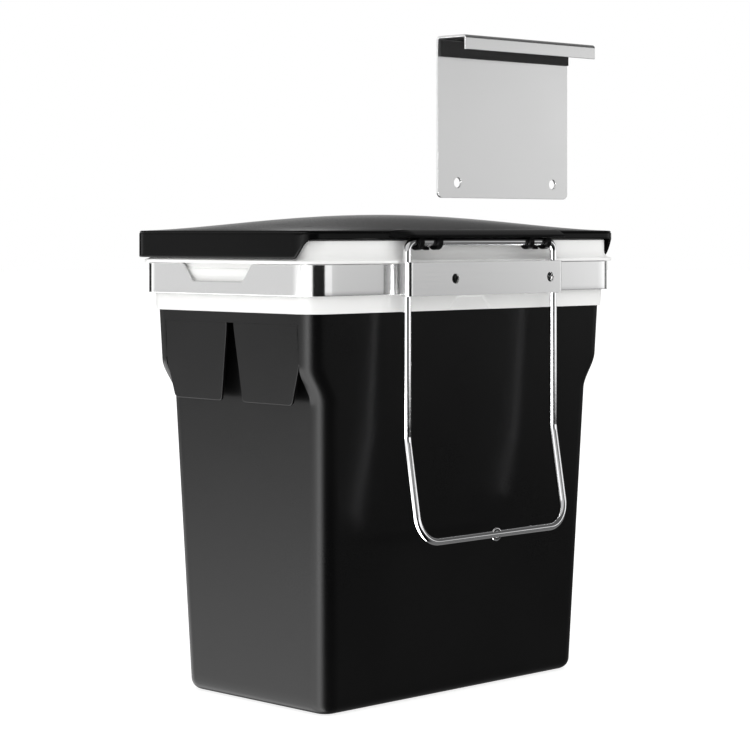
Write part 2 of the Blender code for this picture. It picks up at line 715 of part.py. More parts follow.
# --- over-door hook ----------------------------------------------------------------------------
def make_hook(finish):
    """A plate that screws to the back plate, with a return and a lip that go over a door's top."""
    bottom = HOOK_FOOT
    top = bottom + HOOK_HEIGHT - HOOK_THICKNESS / 2
    near = HOOK_FACE + HOOK_THICKNESS / 2
    far = HOOK_FACE + HOOK_THICKNESS + HOOK_THROAT + HOOK_THICKNESS / 2
    lip_foot = bottom + HOOK_HEIGHT - HOOK_LIP
    path = [(near, bottom), (near, top), (far, top), (far, lip_foot)]
    section = strip_outline(path, HOOK_BEND + HOOK_THICKNESS / 2, HOOK_THICKNESS)
    low_x, high_x = HOOK_OFFSET - HOOK_WIDTH / 2, HOOK_OFFSET + HOOK_WIDTH / 2
    hook = loft("hook_bracket", along_x(section, low_x, high_x), finish)
    for index, x in enumerate(HOLE_XS):
        z = BAND_MIDDLE + HOOK_LIFT
        cut(hook, drill(f"hook_hole_{index}", x, z, SCREW_HOLE_RADIUS, near - 0.005, near + 0.005))
    for index, (edge, side) in enumerate(((low_x, 1), (high_x, -1))):
        centre = (edge + side * HOOK_CORNER, bottom + HOOK_CORNER)
        start, end = (pi, 1.5 * pi) if side > 0 else (2 * pi, 1.5 * pi)
        corner = arc(centre, HOOK_CORNER, start, end, ROUND_STEPS)
        corner += [(edge + side * HOOK_CORNER, bottom - 0.002), (edge - side * 0.002, bottom - 0.002)]
        corner.append((edge - side * 0.002, bottom + HOOK_CORNER))
        cut(hook, loft(f"hook_corner_{index}", along_y(corner, near - 0.005, near + 0.005)))
    return hook


def make_pad(finish):
    """The soft strip that keeps the hook off the door, just under the return."""
    low_x = HOOK_OFFSET - HOOK_WIDTH / 2 + PAD_INSET
    high_x = HOOK_OFFSET + HOOK_WIDTH / 2 - PAD_INSET
    ceiling = HOOK_FOOT + HOOK_HEIGHT - HOOK_THICKNESS - HOOK_BEND - GAP
    floor = ceiling - PAD_HEIGHT
    near = HOOK_FACE + HOOK_THICKNESS + GAP
    outline = rounded_box((low_x, floor), (high_x, ceiling), 0.001, 2)
    return loft("hook_pad", along_y(outline, near, near + PAD_THICKNESS), finish)


# --- assembly ----------------------------------------------------------------------------------
def parent_to_axis(name, location, pieces):
    """An empty on a joint's axis that carries the pieces which move about it."""
    bpy.context.view_layer.update()
    axis = bpy.data.objects.new(name, None)
    axis.location = location
    bpy.context.scene.collection.objects.link(axis)
    for piece in pieces:
        piece.parent = axis
        piece.matrix_parent_inverse = axis.matrix_basis.inverted()


def main():
    clear_scene()
    black_plastic = material("bucket black", (0.012, 0.012, 0.013), 0.45)
    lid_plastic = material("lid black", (0.014, 0.014, 0.015), 0.38)
    white_plastic = material("ring white", (0.83, 0.83, 0.81), 0.4)
    steel = material("satin steel", (0.62, 0.61, 0.60), 0.28, 1.0)
    chrome = material("chrome", (0.80, 0.80, 0.80), 0.08, 1.0)
    foam = material("pad black", (0.01, 0.01, 0.01), 0.85)

    make_bucket(black_plastic)
    make_liner_ring(white_plastic)
    make_band(steel)
    make_back_plate(steel)
    make_support_wire(chrome)
    lid = make_lid(lid_plastic)
    left, right = CLIP_OFFSET + CLIP_SPACING / 2, CLIP_OFFSET - CLIP_SPACING / 2
    clips = [make_clip("hinge_clip_a", left, lid_plastic), make_clip("hinge_clip_b", right, lid_plastic)]
    hook = make_hook(steel)
    pad = make_pad(foam)
    parent_to_axis("lid_hinge_axis", (0, HINGE_Y, HINGE_Z), [lid, *clips])
    parent_to_axis("hook_slide_axis", (HOOK_OFFSET, HOOK_FACE, HOOK_FOOT), [hook, pad])


main()
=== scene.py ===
"""Looks of the in-cabinet waste bin: every visible piece rebuilt finely over the CAD frame.

Sizes are in metres.
"""

import bmesh
import bpy
import numpy as np
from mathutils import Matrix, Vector


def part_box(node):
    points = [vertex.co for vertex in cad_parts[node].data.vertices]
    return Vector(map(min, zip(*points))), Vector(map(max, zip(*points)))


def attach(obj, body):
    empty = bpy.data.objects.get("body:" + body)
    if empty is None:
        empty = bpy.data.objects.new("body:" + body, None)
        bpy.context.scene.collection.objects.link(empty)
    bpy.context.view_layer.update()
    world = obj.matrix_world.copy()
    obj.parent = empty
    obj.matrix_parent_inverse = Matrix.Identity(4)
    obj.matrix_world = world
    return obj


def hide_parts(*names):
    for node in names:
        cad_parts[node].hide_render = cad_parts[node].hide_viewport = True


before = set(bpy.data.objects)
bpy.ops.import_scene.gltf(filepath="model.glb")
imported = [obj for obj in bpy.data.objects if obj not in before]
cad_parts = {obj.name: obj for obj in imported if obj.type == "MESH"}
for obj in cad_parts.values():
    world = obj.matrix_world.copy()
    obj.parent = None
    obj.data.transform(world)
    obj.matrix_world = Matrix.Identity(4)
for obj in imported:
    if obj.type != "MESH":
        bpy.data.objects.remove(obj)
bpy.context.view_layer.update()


# ---------------------------------------------------------------- mesh helpers
def new_object(name, verts, faces, body, nodes, material):
    """A smooth mesh object that rides on a body and stands for CAD nodes."""
    mesh = bpy.data.meshes.new(name)
    mesh.from_pydata([tuple(v) for v in np.asarray(verts, float)], [], faces)
    return dress(name, mesh, body, nodes, material)


def dress(name, mesh, body, nodes, material):
    mesh.materials.append(material.made)
    mesh.shade_smooth()
    obj = bpy.data.objects.new(name, mesh)
    bpy.context.scene.collection.objects.link(obj)
    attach(obj, body)
    if nodes:
        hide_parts(*nodes)
    return obj


def face_outward(mesh):
    bm = bmesh.new()
    bm.from_mesh(mesh)
    bmesh.ops.recalc_face_normals(bm, faces=bm.faces)
    bm.to_mesh(mesh)
    bm.free()


def grid_faces(rows, cols, wrap_rows=False, wrap_cols=True, flip=False):
    """Quads of a rows x cols grid of points, row-major."""
    r = np.arange(rows if wrap_rows else rows - 1)
    c = np.arange(cols if wrap_cols else cols - 1)
    r, c = [a.ravel() for a in np.meshgrid(r, c, indexing="ij")]
    r2, c2 = (r + 1) % rows, (c + 1) % cols
    quads = np.stack([r * cols + c, r * cols + c2, r2 * cols + c2, r2 * cols + c], 1)
    return (quads[:, ::-1] if flip else quads).tolist()


def skin(name, points, body, nodes, material, wrap_rows=False, caps=(), flip=False):
    """Grid of points (rows, cols, 3), closed round its columns; caps names the end rows to fill."""
    rows, cols = points.shape[:2]
    faces = grid_faces(rows, cols, wrap_rows, True, flip)
    first, last = list(range(cols)), list(range((rows - 1) * cols, rows * cols))
    if "first" in caps:
        faces.append(first[::-1] if not flip else first)
    if "last" in caps:
        faces.append(last if not flip else last[::-1])
    return new_object(name, points.reshape(-1, 3), faces, body, nodes, material)


def sharpen(obj, degrees=40):
    """Corners sharper than this shade as corners; elsewhere large faces set the shading, so a
    long flat quad stays flat beside a narrow round edge."""
    obj.data.set_sharp_from_angle(angle=np.radians(degrees))
    flat = obj.modifiers.new("even", "WEIGHTED_NORMAL")
    flat.keep_sharp = True


def bevelled(obj, width, segments=3, degrees=35):
    """Rounded edges, as a modifier, with sharp shading only where faces still meet at a corner."""
    step = obj.modifiers.new("round", "BEVEL")
    step.width = width
    step.segments = segments
    step.limit_method = "ANGLE"
    step.angle_limit = np.radians(degrees)
    flat = obj.modifiers.new("even", "WEIGHTED_NORMAL")
    flat.keep_sharp = True


def smooth(t):
    """3t^2 - 2t^3 on 0..1."""
    t = np.clip(t, 0, 1)
    return t * t * (3 - 2 * t)


def columns(x_fractions, y_fractions, steps):
    """Columns (cx, cy, dx, dy) of a rounded rectangle, anticlockwise from its +X face's -Y end.
    A column's point is (cx (hx - r) + dx r, cy (hy - r) + dy r)."""
    found = []
    for turn in range(4):
        fractions = y_fractions if turn % 2 == 0 else x_fractions
        a = turn * np.pi / 2
        d = np.round([np.cos(a), np.sin(a)], 12)
        side = np.round([-d[1], d[0]], 12)
        for f in fractions:
            found.append([*(d + side * f), *d])
        for k in range(1, steps):
            b = a + k / steps * np.pi / 2
            found.append([*(d + side), np.cos(b), np.sin(b)])
    return np.array(found)


def ring_xy(cols, hx, hy, r):
    """(rows, cols) arrays of x and y from half sizes and corner radii, one of each for a row."""
    hx, hy, r = [np.asarray(v, float).reshape(-1, 1) for v in (hx, hy, r)]
    return cols[:, 0] * (hx - r) + cols[:, 2] * r, cols[:, 1] * (hy - r) + cols[:, 3] * r


def stacked(x, y, z):
    return np.stack(np.broadcast_arrays(x, y, z), -1)


def fillet(points, radii, steps=5):
    """A polyline with its corners rounded; radii gives one for each inner point."""
    pts = [np.array(p, float) for p in points]
    out = [pts[0]]
    for i in range(1, len(pts) - 1):
        a, b, c = pts[i - 1], pts[i], pts[i + 1]
        u, v = (a - b) / np.linalg.norm(a - b), (c - b) / np.linalg.norm(c - b)
        half = np.arccos(np.clip(u @ v, -1, 1)) / 2
        r = radii[i - 1]
        if r <= 0 or half > 1.57:
            out.append(b)
            continue
        reach = r / np.tan(half)
        centre = b + (u + v) / np.linalg.norm(u + v) * r / np.sin(half)
        p, q = b + u * reach - centre, b + v * reach - centre
        turn = np.pi - 2 * half
        for k in range(steps + 1):
            t = k / steps
            w = (np.sin((1 - t) * turn) * p + np.sin(t * turn) * q) / np.sin(turn)
            out.append(centre + w)
    out.append(pts[-1])
    return np.array(out)


def thick_line(points, thickness):
    """The outline of a bent sheet from its centre line, half the thickness to each side."""
    run = np.gradient(points, axis=0)
    run /= np.linalg.norm(run, axis=1)[:, None]
    normal = np.stack([-run[:, 1], run[:, 0]], 1) * thickness / 2
    return np.concatenate([points + normal, (points - normal)[::-1]])


def prism(name, outline, low, high, axis, body, nodes, material):
    """A closed outline in a plane, drawn out along axis from low to high."""
    flat = np.asarray(outline, float)
    ends = []
    for value in (low, high):
        ends.append(np.insert(flat, axis, value, axis=1))
    points = np.stack(ends)
    obj = skin(name, points, body, nodes, material, caps=("first", "last"))
    face_outward(obj.data)
    return obj


def cut_away(obj, verts, faces):
    """Takes a solid out of obj for good."""
    mesh = bpy.data.meshes.new("cutter")
    mesh.from_pydata([tuple(v) for v in verts], [], faces)
    other = bpy.data.objects.new("cutter", mesh)
    bpy.context.scene.collection.objects.link(other)
    face_outward(mesh)
    step = obj.modifiers.new("cut", "BOOLEAN")
    step.operation = "DIFFERENCE"
    step.solver = "EXACT"
    step.object = other
    bpy.context.view_layer.update()
    shape = obj.evaluated_get(bpy.context.evaluated_depsgraph_get())
    cut = bpy.data.meshes.new_from_object(shape)
    obj.modifiers.remove(step)
    obj.data = cut
    bpy.data.objects.remove(other, do_unlink=True)
    obj.data.shade_smooth()


def drill(obj, x, z, radius, near, far):
    a = np.linspace(0, 2 * np.pi, 48, endpoint=False)
    circle = np.stack([x + radius * np.cos(a), z + radius * np.sin(a)], 1)
    verts = np.concatenate([np.insert(circle, 1, y, axis=1) for y in (near, far)])
    faces = grid_faces(2, 48) + [list(range(48)), list(range(48, 96))]
    cut_away(obj, verts, faces)


# ---------------------------------------------------------------- materials
class Socket:
    """A shader value; arithmetic on it adds Math nodes."""

    def __init__(self, tree, out):
        self.tree, self.out = tree, out

    def math(self, operation, other):
        node = self.tree.node("ShaderNodeMath", {"operation": operation})
        self.tree.put(node.inputs[0], self)
        self.tree.put(node.inputs[1], other)
        return Socket(self.tree, node.outputs[0])

    def __add__(self, other):
        return self.math("ADD", other)

    __radd__ = __add__

    def __mul__(self, other):
        return self.math("MULTIPLY", other)

    __rmul__ = __mul__

    def __sub__(self, other):
        return self.math("SUBTRACT", other)

    def __rsub__(self, other):
        return (self * -1.0) + other

    def ramp(self, low, high, to_low=0.0, to_high=1.0):
        settings = {"interpolation_type": "SMOOTHSTEP", "clamp": True}
        node = self.tree.node("ShaderNodeMapRange", settings)
        for name, value in zip(("Value", "From Min", "From Max", "To Min", "To Max"),
                               (self, low, high, to_low, to_high)):
            self.tree.put(node.inputs[name], value)
        return Socket(self.tree, node.outputs["Result"])


class Tree:
    """A node tree, with one way to add a node: its type, its settings, then its inputs."""

    def __init__(self, made):
        self.made = made
        made.use_nodes = True
        self.nodes = made.node_tree.nodes

    def node(self, kind, settings=None, **inputs):
        made = self.nodes.new(kind)
        for key, value in (settings or {}).items():
            setattr(made, key, value)
        for key, value in inputs.items():
            self.put(made.inputs[key.replace("_", " ")], value)
        return made

    def put(self, socket, value):
        if isinstance(value, Socket):
            self.made.node_tree.links.new(value.out, socket)
        else:
            socket.default_value = value

    def mix(self, factor, first, second):
        node = self.node("ShaderNodeMix", {"data_type": "RGBA"})
        self.put(node.inputs[0], factor)
        for socket, value in ((node.inputs[6], first), (node.inputs[7], second)):
            self.put(socket, value if isinstance(value, Socket) else (*value, 1))
        return Socket(self, node.outputs[2])


class Material(Tree):
    """One Principled material built from nodes in object coordinates."""

    def __init__(self, name, colour, roughness, metallic=0.0, **more):
        super().__init__(bpy.data.materials.new(name))
        self.made.diffuse_color = (*colour, 1)
        self.shader = self.nodes["Principled BSDF"]
        self.set("Base Color", (*colour, 1))
        self.set("Roughness", roughness)
        self.set("Metallic", metallic)
        for key, value in more.items():
            self.set(key.replace("_", " "), value)
        self.coords = Socket(self, self.node("ShaderNodeTexCoord").outputs["Object"])

    def set(self, name, value):
        self.put(self.shader.inputs[name], value)

    def axis(self, letter):
        node = self.node("ShaderNodeSeparateXYZ", Vector=self.coords)
        return Socket(self, node.outputs[letter])

    def stretched(self, scale):
        node = self.node("ShaderNodeMapping", Vector=self.coords, Scale=scale)
        return Socket(self, node.outputs[0])

    def noise(self, scale, detail=3.0, roughness=0.5, vector=None):
        node = self.node("ShaderNodeTexNoise", Vector=vector or self.coords, Scale=scale,
                         Detail=detail, Roughness=roughness)
        return Socket(self, node.outputs["Fac"])

    def bump(self, height, strength, distance):
        node = self.node("ShaderNodeBump", Height=height, Strength=strength, Distance=distance)
        self.set("Normal", Socket(self, node.outputs["Normal"]))


def moulded_black(name, base, roughness, grain):
    """Moulded plastic: fine texture, slow cloudiness in its gloss, faint scuffs."""
    m = Material(name, (base, base, base * 1.03), roughness)
    cloud = m.noise(9.0, 2.0)
    fine = m.noise(2600.0, 2.0)
    scuff = m.noise(60.0, 4.0, 0.6).ramp(0.60, 0.78)
    m.set("Roughness", cloud * 0.10 + fine * 0.05 + scuff * 0.05 + (roughness - 0.09))
    tint = cloud.ramp(0.3, 0.7)
    darker, paler = [tuple(base * share for share in shares)
                     for shares in ((0.9, 0.9, 0.93), (1.15, 1.15, 1.17))]
    m.set("Base Color", m.mix(tint, darker, paler))
    m.bump(fine + m.noise(240.0, 2.0) * 0.6, grain, 0.0002)
    return m


def white_moulded():
    m = Material("ring_white", (0.80, 0.80, 0.79), 0.32)
    m.set("Specular IOR Level", 0.25)
    cloud = m.noise(14.0, 2.0)
    fine = m.noise(1500.0, 2.0)
    m.set("Roughness", cloud * 0.12 + fine * 0.05 + 0.24)
    m.set("Base Color", m.mix(cloud.ramp(0.3, 0.7), (0.78, 0.78, 0.77), (0.82, 0.82, 0.81)))
    m.bump(fine, 0.05, 0.0001)
    return m


def brushed(name, tone, roughness, along):
    """Satin steel: long fine scratches along one axis, soft patches in its sheen."""
    m = Material(name, (tone, tone, tone * 0.99), roughness, 1.0)
    scale = [700.0, 700.0, 700.0]
    scale["XYZ".index(along)] = 12.0
    lines = m.noise(1.0, 4.0, 0.65, m.stretched(tuple(scale)))
    patch = m.noise(22.0, 2.0)
    m.set("Roughness", lines * 0.08 + patch * 0.04 + (roughness - 0.06))
    m.set("Base Color", m.mix(lines, (tone * 0.96,) * 3, (tone * 1.03,) * 3))
    m.bump(lines, 0.05, 0.00003)
    return m


def chromed():
    m = Material("chrome_wire", (0.86, 0.86, 0.87), 0.06, 1.0)
    patch = m.noise(90.0, 3.0)
    m.set("Roughness", patch.ramp(0.35, 0.75, 0.03, 0.12))
    m.bump(m.noise(400.0, 2.0), 0.04, 0.0002)
    return m


def foam():
    m = Material("pad_foam", (0.008, 0.008, 0.008), 0.9)
    cells = m.node("ShaderNodeTexVoronoi", Vector=m.coords, Scale=1400.0)
    cell = Socket(m, cells.outputs["Distance"])
    m.set("Base Color", m.mix(cell, (0.004, 0.004, 0.004), (0.016, 0.016, 0.016)))
    m.bump(cell, 0.5, 0.0003)
    return m


BUCKET = moulded_black("bucket_black", 0.0028, 0.31, 0.06)
BUCKET.set("Specular IOR Level", 0.12)
LID = moulded_black("lid_black", 0.0022, 0.20, 0.05)
LID.set("Specular IOR Level", 0.08)
WHITE = white_moulded()
BAND_STEEL = brushed("band_steel", 0.72, 0.13, "X")
PLATE_STEEL = brushed("plate_steel", 0.70, 0.16, "X")
HOOK_STEEL = brushed("hook_steel", 0.72, 0.24, "X")
CHROME = chromed()
FOAM = foam()

# ---------------------------------------------------------------- sizes, from the CAD frame
bucket_low, bucket_high = [np.array(v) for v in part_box("bucket")]
ring_low, ring_high = [np.array(v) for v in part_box("liner_ring")]
band_low, band_high = [np.array(v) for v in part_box("steel_band")]
plate_low, plate_high = [np.array(v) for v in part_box("back_plate")]
wire_low, wire_high = [np.array(v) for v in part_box("support_wire")]
lid_low, lid_high = [np.array(v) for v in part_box("lid")]
hook_low, hook_high = [np.array(v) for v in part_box("hook_bracket")]
pad_low, pad_high = [np.array(v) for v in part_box("hook_pad")]
GAP = 0.0003  # between pieces that touch
DRAFT = 0.039  # how far the walls lean out for each metre of height
RADIUS = 0.013  # of the bucket's corners
STEP = 0.0107  # of the shoulder
WALL, FLOOR = 0.002, 0.0025  # of the bucket
SHEET = 0.0015  # steel thickness
WIRE = 0.0028  # the wire's radius
HOLE = 0.0035  # a screw hole's radius
HOLES = (-0.0155 + 0.0495, -0.0155 - 0.0495)
HOLE_HEIGHT = 0.0105  # of the hook plate's holes above its foot
RIM = bucket_high[2]
BAND_OUT = 0.0057  # from the bucket's rim to the band's face
FOOT_X = band_high[0] - BAND_OUT - STEP - DRAFT * RIM
FOOT_Y = band_high[1] - BAND_OUT - DRAFT * RIM
SHOULDER_FOOT, SHOULDER_TOP = RIM - 0.0925, RIM - 0.0665
POCKET_TOP = SHOULDER_FOOT + 0.054
ROD_Y = plate_high[1] - 0.0065
ROD_Z = ring_high[2] - 0.0012
LOOP_HEIGHT, LOOP_KINK, LOOP_REACH = 0.2035, 0.1342, 0.012
RIM_X, RIM_Y = FOOT_X + STEP + DRAFT * RIM, FOOT_Y + DRAFT * RIM


# ---------------------------------------------------------------- bucket
def make_bucket():
    """Outer and inner walls as one skin: x half = foot + draft z + step s(z), s rising in an S
    through the shoulder, and nought inside the finger pockets."""
    edge = np.linspace(0.955, 0.985, 7)
    y_frac = np.concatenate([np.linspace(-0.95, 0.95, 39), edge, -edge, [-1, 1]])
    cols = columns(np.linspace(-1, 1, 61), np.sort(y_frac), 14)
    foot = 0.0075
    a = np.linspace(0, np.pi / 2, 7)
    z_foot = foot * (1 - np.cos(a))
    inset_foot = foot * (1 - np.sin(a))
    z = np.concatenate([
        np.linspace(foot + 0.004, SHOULDER_FOOT - 0.003, 24),
        np.linspace(SHOULDER_FOOT, SHOULDER_TOP, 16),
        np.linspace(SHOULDER_TOP + 0.002, POCKET_TOP - 0.001, 8),
        POCKET_TOP + np.array([-0.0003, -0.0001, 0.0001, 0.0003]),
        np.linspace(POCKET_TOP + 0.002, RIM - 0.0006, 10),
    ])
    zs = np.concatenate([z_foot, z])
    inset = np.concatenate([inset_foot, np.zeros(len(z))])
    rise = smooth((zs - SHOULDER_FOOT) / (SHOULDER_TOP - SHOULDER_FOOT))
    # plain outline first, to know each column's y
    hx = FOOT_X + DRAFT * zs - inset
    hy = FOOT_Y + DRAFT * zs - inset
    x, y = ring_xy(cols, hx, hy, RADIUS - inset)
    mask = np.ones_like(x)
    on_face = (np.abs(cols[:, 2]) > 0.999) & (np.abs(cols[:, 0]) > 0.999)
    reach = FOOT_Y + DRAFT * SHOULDER_TOP - RADIUS - 0.001
    inside = on_face & (np.abs(y) < reach) & (zs[:, None] < POCKET_TOP)
    mask[inside] = 0
    x = x + STEP * rise[:, None] * mask * cols[:, 0]
    outer = stacked(x, y, zs[:, None])
    # rim and inside
    step_z = POCKET_TOP + 0.002
    z_in = np.concatenate([
        [RIM - 0.0002, RIM, RIM, RIM - 0.0003],
        np.linspace(RIM - 0.002, step_z + STEP, 8),
        np.linspace(step_z + STEP - 0.001, step_z, 8),
        np.linspace(step_z - 0.004, FLOOR + 0.004, 20),
        [FLOOR + 0.0015, FLOOR + 0.0003, FLOOR],
    ])
    wall = np.full(len(z_in), WALL)
    wall[:3] = [0.0003, 0.0007, 0.0014]
    wall[-3:] = [0.0024, 0.0032, 0.0048]
    lean = smooth((z_in - step_z) / STEP)
    hx = FOOT_X + DRAFT * z_in + STEP * lean - wall
    hy = FOOT_Y + DRAFT * z_in - wall
    xi, yi = ring_xy(cols, hx, hy, RADIUS - wall)
    inner = stacked(xi, yi, z_in[:, None])
    points = np.concatenate([outer, inner])
    obj = skin("bucket_shell", points, "frame", ["bucket"], BUCKET,
               caps=("first", "last"))
    sharpen(obj, 50)


def make_flaps():
    """Two flaps on each short side, in the plane of the upper wall, with rounded free edges."""
    z0, z1 = SHOULDER_FOOT, POCKET_TOP + 0.00005
    side = FOOT_Y + DRAFT * SHOULDER_TOP - RADIUS
    for sx, tag in ((1, "p"), (-1, "n")):
        for sy, end in ((1, "p"), (-1, "n")):
            corner = [(0.0034, z1), (0.0036, z1 - 0.004), (0.01085, z0), (0.0605, z0),
                      (side - 0.0006, SHOULDER_TOP - 0.001), (side, SHOULDER_TOP + 0.004),
                      (side, z1)]
            line = fillet(corner, [0.004, 0.003, 0.004, 0.03, 0.0], 6)
            n = len(line)
            bm = bmesh.new()
            rows = []
            for depth in (0.0, WALL):
                x = FOOT_X + STEP + DRAFT * line[:, 1] - depth
                rows.append([bm.verts.new((sx * px, sy * p[0], p[1])) for px, p in zip(x, line)])
            front = bm.faces.new(rows[0])
            back = bm.faces.new(rows[1])
            for i in range(n):
                j = (i + 1) % n
                bm.faces.new((rows[0][i], rows[0][j], rows[1][j], rows[1][i]))
            free = [e for e in list(front.edges) + list(back.edges)
                    if min(v.co.z for v in e.verts) < z1 - 0.0002
                    and min(abs(v.co.y) for v in e.verts) < side - 0.00005]
            bmesh.ops.recalc_face_normals(bm, faces=bm.faces)
            bmesh.ops.bevel(bm, geom=free, offset=0.0006, segments=3, affect="EDGES",
                            profile=0.5)
            mesh = bpy.data.meshes.new(f"flap_{tag}{end}")
            bm.to_mesh(mesh)
            bm.free()
            obj = dress(f"flap_{tag}{end}", mesh, "frame", [], BUCKET)
            sharpen(obj, 40)


# ---------------------------------------------------------------- liner ring and band
def make_liner_ring():
    """A closed section swept round the rim, with a shallow arch pressed into its back edge."""
    under = band_high[2] + GAP
    top = ring_high[2]
    low = ring_low[2]
    skirt = 0.0023
    section = [
        # out from the bucket's drafted face, or from the upright outline; height; drafted?
        (skirt - 0.0004, low, 1), (skirt - 0.0001, low + 0.0001, 1), (skirt, low + 0.0004, 1),
        *[(skirt, h, 1) for h in np.linspace(low + 0.001, low + 0.0125, 24)],
        (skirt, RIM - 0.007, 1), (skirt + 0.0008, RIM - 0.0062, 1),
        (skirt + 0.0008, RIM - 0.0018, 1), (skirt, RIM - 0.001, 1), (skirt, under, 1),
        (0.0079, under, 0), (0.0085, under + 0.0001, 0), (0.0087, under + 0.0005, 0),
        (0.0087, under + 0.0014, 0), (0.0086, under + 0.0019, 0), (0.0081, under + 0.0022, 0),
        (0.0063, under + 0.0026, 0), (0.0051, under + 0.0034, 0), (0.0041, under + 0.0046, 0),
        (0.0035, under + 0.0060, 0), (0.0033, under + 0.0078, 0), (0.0033, top - 0.0006, 0),
        (0.0031, top - 0.0002, 0), (0.0027, top, 0), (0.0021, top, 0), (0.0017, top - 0.0002, 0),
        (0.0015, top - 0.0006, 0), (0.0015, under + 0.0022, 0), (0.0, RIM + 0.003, 0),
        (-0.004, RIM + 0.003, 0), (-0.0045, RIM + 0.0025, 0), (-0.0045, RIM + 0.0013, 0),
        (-0.004, RIM + 0.0008, 0), (GAP, RIM + 0.0008, 1), (GAP, RIM - 0.001, 1),
        (GAP + 0.0008, RIM - 0.0018, 1), (GAP + 0.0008, RIM - 0.0062, 1),
        (GAP, RIM - 0.007, 1), (GAP, low, 1),
    ]
    out, z, draft = np.array(section).T
    cols = columns(np.linspace(-1, 1, 281), np.linspace(-1, 1, 61), 16)
    hx = np.where(draft > 0, FOOT_X + STEP + DRAFT * z, RIM_X) + out
    hy = np.where(draft > 0, FOOT_Y + DRAFT * z, RIM_Y) + out
    x, y = ring_xy(cols, hx, hy, RADIUS + out)
    height = z[:, None] - low
    half = 0.0227 - 0.0092 * np.clip(height / 0.009, 0, 1)
    arch = smooth((half - np.abs(x)) / 0.0012 + 0.5) * smooth((0.0094 - height) / 0.0008 + 0.5)
    on_skirt = (out[:, None] > 0.001) & (height < 0.0130) & (y > 0.05)
    y = y - np.where(on_skirt, 0.0013 * arch, 0)
    obj = skin("ring_body", stacked(x, y, z[:, None]), "frame", ["liner_ring"],
               WHITE, wrap_rows=True)
    sharpen(obj, 45)


def make_band():
    """A flat strip bent round the ring; its top dips by the notch's depth across each short side."""
    low, high = band_low[2], band_high[2]
    t = SHEET
    e = 0.00035
    section = [(-e, low), (-e * 0.3, low + e * 0.3), (0.0, low + e), (0.0, low + 0.004)]
    section += [(0.0, h) for h in np.linspace(low + 0.006, high - 0.013, 3)]
    section += [(0.0, high - e), (-e * 0.3, high - e * 0.3), (-e, high), (e - t, high)]
    section += [(e * 0.3 - t, high - e * 0.3), (-t, high - e), (-t, low + e),
                (e * 0.3 - t, low + e * 0.3), (e - t, low)]
    out, z = np.array(section).T
    cols = columns(np.linspace(-1, 1, 61), np.linspace(-1, 1, 321), 16)
    out = BAND_OUT + out
    x, y = ring_xy(cols, RIM_X + out, RIM_Y + out, RADIUS + out)
    line = fillet([(-0.08, 0), (-0.0355, 0), (-0.0265, -0.012), (0.0265, -0.012), (0.0355, 0),
                   (0.08, 0)], [0.004, 0.005, 0.005, 0.004], 8)
    dip = np.interp(y + 0.005, line[:, 0], line[:, 1]) * (np.abs(cols[:, 2]) > 0.999)
    at_top = np.where(z > high - 0.0005, 1.0, 0.0)[:, None]
    dipped = z[:, None] + dip * at_top
    obj = skin("band_strip", stacked(x, y, dipped), "frame", ["steel_band"],
               BAND_STEEL, wrap_rows=True)
    sharpen(obj, 50)


# ---------------------------------------------------------------- back plate, hook bracket, pad
def make_back_plate():
    t = SHEET
    half = plate_high[0] - t / 2
    face = plate_high[1] - t / 2
    foot = band_high[1] + GAP + t / 2
    inner = half - 0.0145
    path = [(-inner, foot), (-half, foot), (-half, face), (half, face), (half, foot), (inner, foot)]
    line = fillet(path, [0.00325] * 4, 8)
    obj = prism("plate_hat", thick_line(line, t), plate_low[2], plate_high[2], 2, "frame",
                ["back_plate"], PLATE_STEEL)
    middle = (plate_low[2] + plate_high[2]) / 2
    for x in HOLES:
        drill(obj, x, middle, HOLE, face - 0.005, face + 0.005)
    y0, y1 = band_high[1] - 0.01, ring_high[1] + 2 * GAP
    corners = [(x, y, z) for z in (band_high[2], band_high[2] + 0.01)
               for x, y in ((-0.1, y0), (0.1, y0), (0.1, y1), (-0.1, y1))]
    cut_away(obj, corners, grid_faces(2, 4) + [[0, 1, 2, 3], [4, 5, 6, 7]])
    bevelled(obj, 0.0003, 3, 50)


def make_hook():
    t = SHEET
    near = hook_low[1] + t / 2
    far = hook_high[1] - t / 2
    top = hook_high[2] - t / 2
    foot = hook_low[2]
    path = [(near, foot), (near, top), (far, top), (far, hook_high[2] - 0.010)]
    line = fillet(path, [0.00165] * 2, 8)
    obj = prism("hook_sheet", thick_line(line, t), hook_low[0], hook_high[0], 0, "bracket",
                ["hook_bracket"], HOOK_STEEL)
    for x in HOLES:
        drill(obj, x, foot + HOLE_HEIGHT, HOLE, near - 0.005, near + 0.005)
    for edge, side in ((hook_low[0], 1), (hook_high[0], -1)):
        a = np.linspace(0, np.pi / 2, 9)
        r = 0.004
        arc = [(edge + side * (r - r * np.cos(b)), foot + r - r * np.sin(b)) for b in a]
        line = np.array(arc + [(edge + side * r, foot - 0.002),
                               (edge - side * 0.002, foot - 0.002),
                               (edge - side * 0.002, foot + r)])
        verts = np.concatenate([np.insert(line, 1, y, axis=1)
                                for y in (near - 0.005, near + 0.005)])
        n = len(line)
        cut_away(obj, verts, grid_faces(2, n) + [list(range(n)), list(range(n, 2 * n))])
    bevelled(obj, 0.0003, 3, 50)


def make_pad():
    """A foam strip, its free edges slightly rounded."""
    low, high = pad_low, pad_high
    line = [(low[1], low[2]), (high[1], low[2]), (high[1], high[2]), (low[1], high[2])]
    obj = prism("pad_strip", line, low[0], high[0], 0, "bracket", ["hook_pad"], FOAM)
    bevelled(obj, 0.0005, 4, 50)


